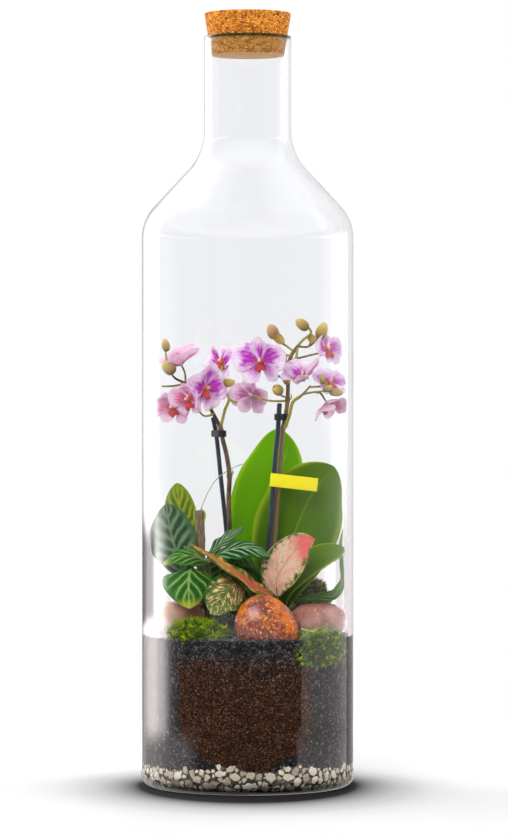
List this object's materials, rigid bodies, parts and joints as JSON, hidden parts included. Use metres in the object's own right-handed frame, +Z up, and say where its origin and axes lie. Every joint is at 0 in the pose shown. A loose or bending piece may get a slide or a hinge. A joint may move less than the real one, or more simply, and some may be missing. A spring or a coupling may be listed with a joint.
{
  "type": "glass plant terrarium",
  "caption": "Tall clear glass bottle closed with a cork and planted with a pink moth orchid, striped and speckled foliage, moss and stones over grit, soil and pale gravel.",
  "frame": {"origin": "centre of the bottle's foot, on the surface that it stands on", "axes": "+Z up along the bottle's axis towards the cork, -Y towards the side that faces the viewer"},
  "size_m": [0.182, 0.182, 0.6575],
  "materials": {
    "glass": "clear blown glass, faintly green at its thick base and rim",
    "cork": "pressed cork granules, matte",
    "rust_stone": "polished tumbled stone, mottled rust orange and purple brown",
    "copper_stone": "polished tumbled stone, copper brown",
    "stake": "dark coated wire",
    "spike": "olive and purple brown flower stem",
    "dry_root": "thin dry grey root",
    "orchid_leaf": "thick smooth leaf, satin",
    "petal": "soft petal, pink with paler edges and a deeper middle",
    "tag": "yellow plastic label, blank",
    "clip": "dark plastic, moulded",
    "striped_leaf": "dark green leaf with pale stripes, satin",
    "speckled_leaf": "pink and cream leaf with green specks, satin",
    "moss": "living moss, fuzzy",
    "pumice": "pale pumice chips, rough",
    "soil": "moist fibrous potting soil",
    "grit": "black volcanic grit"
  },
  "bodies": {
    "root": {"glass_bottle": "glass", "cork_stopper": "cork", "stone_front": "rust_stone", "stone_left": "copper_stone", "stone_right": "copper_stone", "stake_right": "stake", "stake_left": "stake", "flower_spike_right": "spike", "flower_spike_left": "spike", "cut_spike_stub": "spike", "aerial_root": "dry_root", "orchid_leaf_1": "orchid_leaf", "orchid_leaf_2": "orchid_leaf", "orchid_leaf_3": "orchid_leaf", "orchid_crown": "orchid_leaf", "bloom_left_1": "petal", "bloom_left_2": "petal", "bloom_left_3": "petal", "bloom_left_4": "petal", "bloom_left_5": "petal", "bloom_right_1": "petal", "bloom_right_2": "petal", "bloom_right_3": "petal", "bloom_right_4": "petal", "bloom_right_5": "petal", "bloom_right_6": "petal", "plant_tag": "tag", "clip_right": "clip", "clip_left": "clip", "calathea_leaf_1": "striped_leaf", "calathea_leaf_2": "striped_leaf", "calathea_leaf_3": "striped_leaf", "calathea_leaf_4": "striped_leaf", "calathea_leaf_5": "striped_leaf", "calathea_leaf_6": "striped_leaf", "calathea_leaf_7": "striped_leaf", "calathea_leaf_8": "striped_leaf", "calathea_leaf_9": "striped_leaf", "aglaonema_leaf_1": "speckled_leaf", "aglaonema_leaf_2": "speckled_leaf", "aglaonema_leaf_3": "speckled_leaf", "aglaonema_leaf_4": "speckled_leaf", "moss_front_left": "moss", "moss_front_right": "moss", "moss_back_right": "moss", "drainage_gravel": "pumice", "potting_soil": "soil", "black_grit": "grit"}
  },
  "joints": []
}
